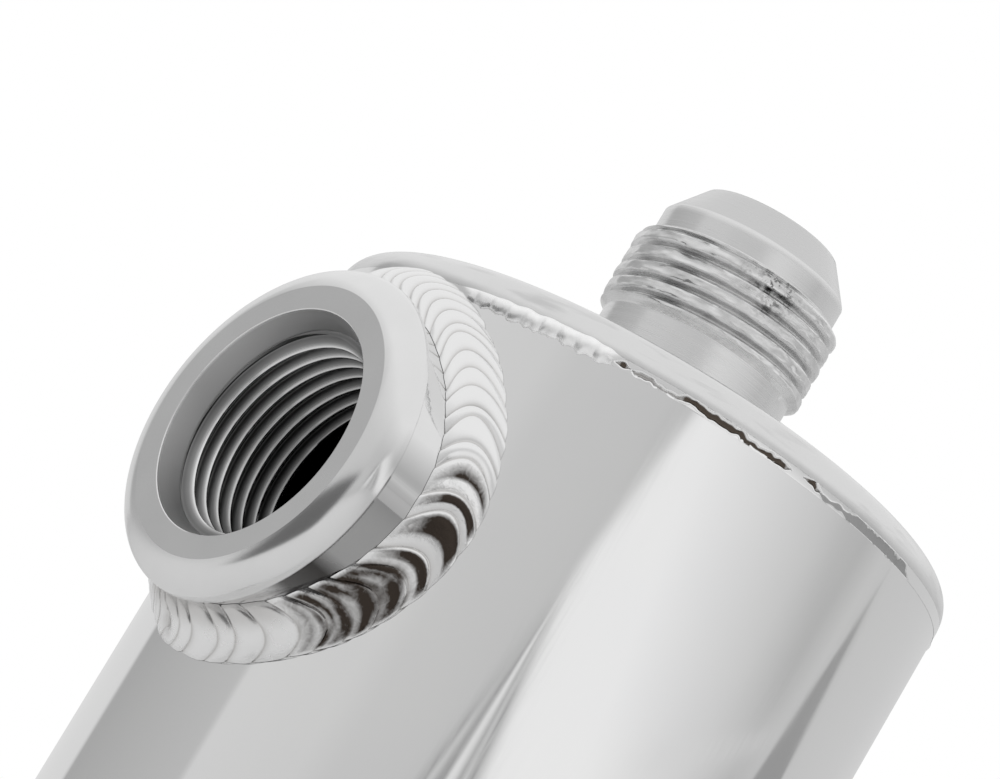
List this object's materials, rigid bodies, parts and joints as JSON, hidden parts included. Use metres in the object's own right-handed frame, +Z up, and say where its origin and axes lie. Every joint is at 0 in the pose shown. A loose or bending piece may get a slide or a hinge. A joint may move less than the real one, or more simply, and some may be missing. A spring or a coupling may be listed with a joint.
{
  "type": "oil catch can",
  "caption": "Round welded aluminium catch can with a male flare fitting on top, a female threaded bung in its side, a mesh pack inside and a plugged drain boss.",
  "frame": {"origin": "centre of the can's flat base, on the can's axis", "axes": "+Z up along the can's axis, towards the top fitting; -Y out along the side bung and the drain plug"},
  "size_m": [0.0804, 0.0889, 0.228],
  "materials": {
    "polished_tube": "polished",
    "polished_cap": "polished, with a dressed corner",
    "seam_weld": "partly dressed weld",
    "bead_weld": "bright rippled weld",
    "turned_bung": "satin turned",
    "worn_fitting": "satin turned, with worn thread crests",
    "inner_tube": "mill finish",
    "screen_sheet": "mill finish sheet",
    "wire_mesh": "knitted stainless wire",
    "plated_steel": "zinc plated",
    "plug_metal": "satin turned",
    "seal_rubber": "matt"
  },
  "bodies": {
    "can": {"body_tube": "polished_tube", "top_cap": "polished_cap", "bottom_cap": "polished_cap", "top_seam_weld": "seam_weld", "bottom_seam_weld": "seam_weld", "top_fitting": "worn_fitting", "top_fitting_weld": "bead_weld", "side_bung": "turned_bung", "side_bung_weld": "bead_weld", "inlet_tube": "inner_tube", "inlet_tube_weld": "bead_weld", "upper_screen": "screen_sheet", "lower_screen": "screen_sheet", "mesh_pack": "wire_mesh", "tie_rods": "plated_steel", "tie_rod_nuts": "plated_steel", "screen_tabs": "inner_tube", "screen_tab_welds": "bead_weld", "drain_boss": "turned_bung", "drain_boss_weld": "bead_weld"},
    "seal": {"drain_seal": "seal_rubber"},
    "plug": {"drain_plug": "plug_metal"}
  },
  "joints": [
    {"name": "plug_travel", "type": "slide", "parent": "can", "child": "seal", "axis": [0, -1, 0], "range_m": [0, 0.0085]},
    {"name": "plug_turn", "type": "hinge", "parent": "seal", "child": "plug", "pos_m": [0, -0.045, 0.022], "axis": [0, -1, 0], "range_deg": [0, 2160]}
  ],
  "couplings": [
    {"joint": "plug_travel", "follows": "plug_turn", "m_per_rad": 0.00022458}
  ]
}
